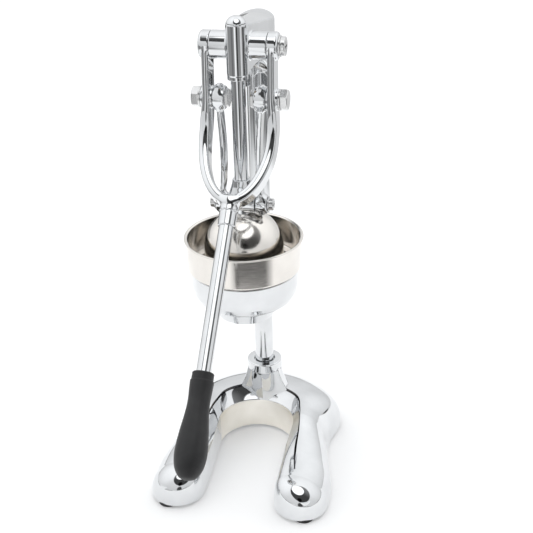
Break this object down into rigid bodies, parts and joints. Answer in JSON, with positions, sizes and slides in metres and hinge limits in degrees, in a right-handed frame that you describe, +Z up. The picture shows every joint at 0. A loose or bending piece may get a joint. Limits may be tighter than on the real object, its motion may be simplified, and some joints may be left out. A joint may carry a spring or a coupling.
{
  "type": "hand lever citrus press",
  "caption": "Hand-lever fruit press: horseshoe base, rear post, head with fork lever and links that drive a domed plunger into a stepped cup.",
  "frame": {"origin": "on the table, under the middle of the whole press's box", "axes": "+Z up, -Y towards the handle and the open side of the horseshoe, +Y towards the post, +X to the user's right when facing the press from the handle side"},
  "size_m": [0.2025, 0.413, 0.5278],
  "materials": {
    "chrome_casting": "polished chrome plate on a casting",
    "chrome_bar": "polished chrome plate on bar and tube",
    "stainless": "polished stainless sheet, warm grey",
    "fastener_steel": "bright zinc-plated steel",
    "bronze": "plain bronze bush",
    "black_grip": "matt black moulded grip",
    "black_rubber": "matt black rubber"
  },
  "bodies": {
    "frame": {"base_casting": "chrome_casting", "rubber_feet": "black_rubber", "foot_screws": "fastener_steel", "post": "chrome_bar", "post_bolt": "fastener_steel", "post_washer": "fastener_steel", "base_set_screw": "fastener_steel", "head_casting": "chrome_casting", "head_set_screw": "fastener_steel", "guide_bushes": "bronze", "pivot_bushes": "bronze", "bowl_holder": "chrome_casting", "holder_set_screw": "fastener_steel", "juice_cup": "stainless", "strainer": "stainless", "reamer_cone": "stainless"},
    "lever": {"fork": "chrome_casting", "handle_tube": "chrome_bar", "grip": "black_grip", "pivot_screws": "fastener_steel", "pivot_washer": "fastener_steel", "link_bolts": "fastener_steel", "link_washers": "fastener_steel"},
    "plunger": {"plunger_rod": "chrome_bar", "rod_cap": "chrome_bar", "press_hub": "chrome_casting", "press_dome": "stainless", "dome_screw": "fastener_steel", "lower_screws": "fastener_steel"},
    "link_r": {"link_right": "chrome_casting", "link_nut_right": "fastener_steel"},
    "link_l": {"link_left": "chrome_casting", "link_nut_left": "fastener_steel"}
  },
  "joints": [
    {"name": "lever_pivot", "type": "hinge", "parent": "frame", "child": "lever", "pos_m": [0, 0.0575, 0.496], "axis": [-1, 0, 0], "range_deg": [0, 110]},
    {"name": "plunger_slide", "type": "slide", "parent": "frame", "child": "plunger", "axis": [0, 0, 1], "range_m": [0, 0.0803]},
    {"name": "link_right_pivot", "type": "hinge", "parent": "plunger", "child": "link_r", "pos_m": [0.0208, 0.0455, 0.334], "axis": [1, 0, 0], "range_deg": [0, 22.8]},
    {"name": "link_left_pivot", "type": "hinge", "parent": "plunger", "child": "link_l", "pos_m": [-0.0208, 0.0455, 0.334], "axis": [1, 0, 0], "range_deg": [0, 22.8]}
  ],
  "couplings": [
    {"joint": "plunger_slide", "follows": "lever_pivot", "m_per_rad": 0.041749},
    {"joint": "link_right_pivot", "follows": "lever_pivot", "ratio": 0.20685},
    {"joint": "link_left_pivot", "follows": "lever_pivot", "ratio": 0.20685}
  ]
}
